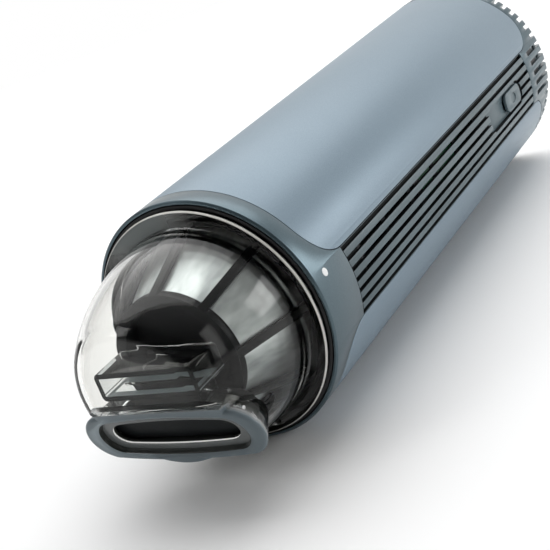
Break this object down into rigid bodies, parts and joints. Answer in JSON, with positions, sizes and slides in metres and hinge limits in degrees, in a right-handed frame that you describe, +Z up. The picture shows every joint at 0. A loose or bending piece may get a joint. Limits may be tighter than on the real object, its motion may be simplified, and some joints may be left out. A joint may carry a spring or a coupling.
{
  "type": "portable vacuum cleaner",
  "caption": "Cordless hand vacuum: a round body with slatted side grilles, a slide switch, a clear twist-off dust cup with an oval mouth, a mesh filter, a fan motor and cells.",
  "frame": {"origin": "bottom centre of the box round the whole cleaner as it lies, on the floor", "axes": "+Z up, -Y towards the mouth, +X to the side with the slide switch"},
  "size_m": [0.074, 0.2444, 0.074],
  "materials": {
    "shell_paint": "satin metallic paint",
    "dark_plastic": "satin moulded",
    "clear_plastic": "clear polished",
    "black_rubber": "matt",
    "filter_plastic": "satin moulded",
    "mesh_steel": "woven",
    "filter_paper": "pleated",
    "fan_plastic": "moulded",
    "motor_steel": "plated",
    "core_steel": "laminated",
    "magnet": "ground",
    "bright_steel": "ground",
    "chassis_plastic": "moulded",
    "slider_plastic": "satin",
    "board_green": "solder mask",
    "cell_wrap": "wrapped",
    "nickel": "plated strip",
    "light_pipe": "clear"
  },
  "bodies": {
    "main": {"front_collar": "dark_plastic", "filter_frame": "filter_plastic", "filter_mesh": "mesh_steel", "filter_pleats": "filter_paper", "filter_seal": "black_rubber", "intake_plate": "fan_plastic", "fan_cover": "fan_plastic", "diffuser": "fan_plastic", "motor_can": "motor_steel", "motor_stator": "core_steel", "front_bearing": "bright_steel", "rear_bearing": "bright_steel", "front_mount": "black_rubber", "rear_mount": "black_rubber", "chassis_upper": "chassis_plastic", "chassis_lower": "chassis_plastic", "case_screws": "bright_steel", "upper_shell": "shell_paint", "lower_shell": "shell_paint", "right_grille": "dark_plastic", "left_grille": "dark_plastic", "switch_pad": "dark_plastic", "switch_body": "fan_plastic", "control_board": "board_green", "battery_cells": "cell_wrap", "cell_links": "nickel", "cradle_fore": "chassis_plastic", "cradle_aft": "chassis_plastic", "rear_vent_ring": "dark_plastic", "rear_cap": "dark_plastic", "charge_board": "board_green", "charge_socket": "nickel", "charge_light": "light_pipe"},
    "cup": {"dust_cup": "clear_plastic", "inlet_duct": "clear_plastic", "cup_seal": "black_rubber", "flap_pin": "bright_steel"},
    "flap": {"inlet_flap": "black_rubber"},
    "slider": {"switch_slider": "slider_plastic"},
    "rotor": {"rotor_shaft": "bright_steel", "rotor_magnet": "magnet", "impeller": "fan_plastic"}
  },
  "joints": [
    {"name": "cup_twist", "type": "hinge", "parent": "main", "child": "cup", "pos_m": [0, -0.08375, 0.037], "axis": [0, -1, 0], "range_deg": [0, 25]},
    {"name": "flap_swing", "type": "hinge", "parent": "cup", "child": "flap", "pos_m": [0, -0.11292, 0.02721], "axis": [1, 0, 0], "range_deg": [0, 20]},
    {"name": "power_slide", "type": "slide", "parent": "main", "child": "slider", "axis": [0, -1, 0], "range_m": [0, 0.006]},
    {"name": "motor_spin", "type": "hinge", "parent": "main", "child": "rotor", "pos_m": [0, -0.03, 0.037], "axis": [0, 1, 0], "continuous": true}
  ]
}
